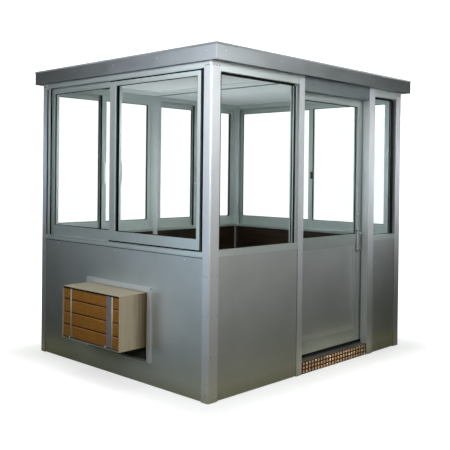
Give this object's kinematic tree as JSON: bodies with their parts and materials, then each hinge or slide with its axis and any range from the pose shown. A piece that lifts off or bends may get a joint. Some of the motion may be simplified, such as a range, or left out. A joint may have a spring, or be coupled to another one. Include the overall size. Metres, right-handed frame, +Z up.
{
  "type": "security guard booth",
  "caption": "Free-standing guard booth with glazed upper walls, grey panelled lower walls, a sliding door, a flat overhanging roof and a through-wall air conditioner.",
  "frame": {"origin": "middle of the footprint, on the ground", "axes": "+Z up, -Y towards the door side, -X towards the air conditioner side"},
  "size_m": [2.727, 2.182, 2.387],
  "materials": {
    "base_steel": "dull dark paint",
    "floor_board": "sealed board",
    "mill_aluminium": "mill finish",
    "gold_tread": "worn gold finish",
    "post_aluminium": "clear anodised, satin",
    "wall_sheet": "satin grey metallic paint",
    "wood_lining": "dark wood grain, satin",
    "frame_aluminium": "clear anodised, satin",
    "window_glass": "clear",
    "latch_plastic": "black, moulded",
    "roof_metal": "satin grey metallic paint",
    "roof_cover": "matt grey coating",
    "ceiling_board": "pale satin board",
    "light_diffuser": "milky diffuser",
    "ac_enamel": "beige enamel",
    "coil_fins": "gold coated fins",
    "strap_zinc": "zinc plated",
    "ac_plastic": "moulded, cream",
    "pull_chrome": "polished",
    "hanger_steel": "plated"
  },
  "bodies": {
    "booth": {"base_frame": "base_steel", "floor_deck": "floor_board", "door_sill": "mill_aluminium", "door_track": "mill_aluminium", "door_header": "mill_aluminium", "step_tread": "gold_tread", "corner_post_front_left": "post_aluminium", "corner_post_front_right": "post_aluminium", "corner_post_rear_left": "post_aluminium", "corner_post_rear_right": "post_aluminium", "door_jamb_left": "post_aluminium", "door_jamb_right": "post_aluminium", "rear_mullion": "post_aluminium", "ac_wall_trim": "post_aluminium", "left_wall_panel": "wall_sheet", "front_wall_panel": "wall_sheet", "side_light_panel": "wall_sheet", "rear_wall_panel": "wall_sheet", "right_wall_panel": "wall_sheet", "left_wall_lining": "wood_lining", "front_wall_lining": "wood_lining", "side_light_lining": "wood_lining", "rear_wall_lining": "wood_lining", "right_wall_lining": "wood_lining", "left_window_frame": "frame_aluminium", "left_window_sashes": "frame_aluminium", "front_window_frame": "frame_aluminium", "side_light_frame": "frame_aluminium", "rear_window_frames": "frame_aluminium", "rear_window_sashes": "frame_aluminium", "right_window_frame": "frame_aluminium", "right_window_sashes": "frame_aluminium", "left_window_glass": "window_glass", "front_window_glass": "window_glass", "side_light_glass": "window_glass", "rear_window_glass": "window_glass", "right_window_glass": "window_glass", "window_latches": "latch_plastic", "ceiling_vent": "latch_plastic", "roof_edge": "roof_metal", "roof_sheet": "roof_cover", "ceiling_panels": "ceiling_board", "ceiling_light": "light_diffuser", "ac_case": "ac_enamel", "ac_coil": "coil_fins", "ac_straps": "strap_zinc", "ac_room_front": "ac_plastic"},
    "door": {"door_frame": "frame_aluminium", "door_glass": "window_glass", "door_panel": "wall_sheet", "door_pull": "pull_chrome", "door_hangers": "hanger_steel"}
  },
  "joints": [
    {"name": "door_slide", "type": "slide", "parent": "booth", "child": "door", "axis": [-1, 0, 0], "range_m": [0, 0.82]}
  ]
}
